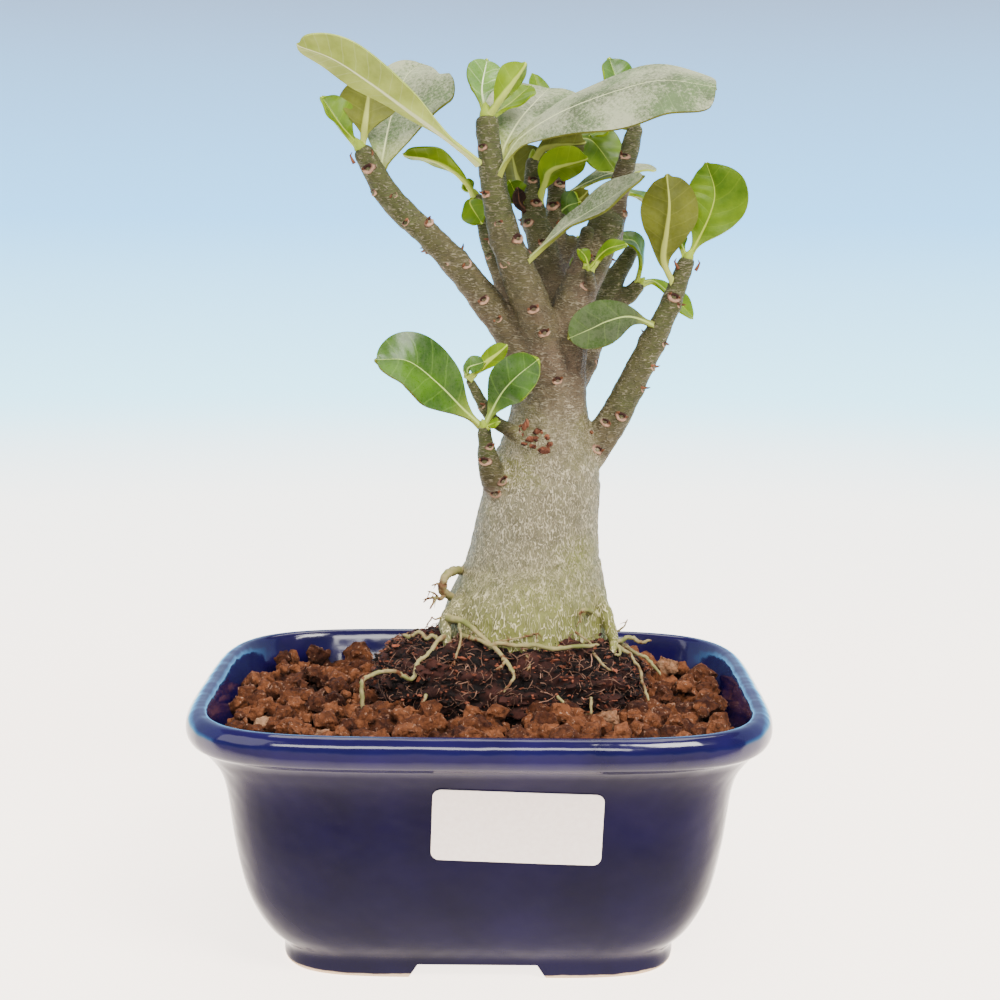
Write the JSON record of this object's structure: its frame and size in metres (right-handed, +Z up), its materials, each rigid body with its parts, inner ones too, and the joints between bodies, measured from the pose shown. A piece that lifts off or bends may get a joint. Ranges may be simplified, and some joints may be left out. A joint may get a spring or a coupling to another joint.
{
  "type": "potted desert rose adenium",
  "caption": "Desert rose grown as a small bonsai: swollen trunk, bare branches and leathery leaves, in a glazed rounded-rectangular ceramic pot filled with clay granules.",
  "frame": {"origin": "middle of the pot's base, on the surface that it stands on", "axes": "+Z up, +X along the pot's length, -Y towards the viewer of the picture"},
  "size_m": [0.1498, 0.1228, 0.2329],
  "materials": {
    "glazed_stoneware": "glossy cobalt glaze, opaque",
    "mesh_plastic": "satin",
    "label_paper": "satin, blank",
    "clay_granules": "dry and crumbly",
    "peat": "fibrous",
    "bark": "matt with fine pale cracks",
    "leaf_dusty": "leathery with a dusty bloom",
    "leaf_pale": "pale matt underside",
    "leaf_fresh": "young, satin",
    "leaf_deep": "leathery, glossy",
    "leaf_dried": "dry and curled"
  },
  "bodies": {
    "root": {"pot": "glazed_stoneware", "drain_mesh_left": "mesh_plastic", "drain_mesh_right": "mesh_plastic", "label": "label_paper", "soil_granules": "clay_granules", "root_ball": "peat", "trunk": "bark", "leaf_long_left": "leaf_pale", "leaf_broad_left": "leaf_dusty", "leaves_left_tip": "leaf_pale", "leaves_front_tip": "leaf_fresh", "leaf_broad_back": "leaf_dusty", "leaf_long_right": "leaf_dusty", "leaf_behind": "leaf_pale", "leaves_middle_tip": "leaf_pale", "leaf_under": "leaf_pale", "leaves_middle_right_tip": "leaf_fresh", "leaves_leader_tip": "leaf_fresh", "leaf_far_right": "leaf_dusty", "leaf_inner_round": "leaf_deep", "leaf_inner_olive": "leaf_pale", "leaf_slanted": "leaf_dusty", "leaves_rear_left_tip": "leaf_fresh", "leaves_tiny_shoot": "leaf_fresh", "leaves_hooked_tip": "leaf_deep", "leaf_right_olive": "leaf_pale", "leaves_right_tip": "leaf_fresh", "leaf_middle_right": "leaf_deep", "leaves_stub_tip": "leaf_deep", "leaves_thin_stub_tip": "leaf_fresh", "leaf_inner_green": "leaf_fresh", "leaf_dried": "leaf_dried", "leaf_peeking": "leaf_dusty", "leaf_rear_low": "leaf_fresh", "leaf_rear_right": "leaf_deep"}
  },
  "joints": []
}
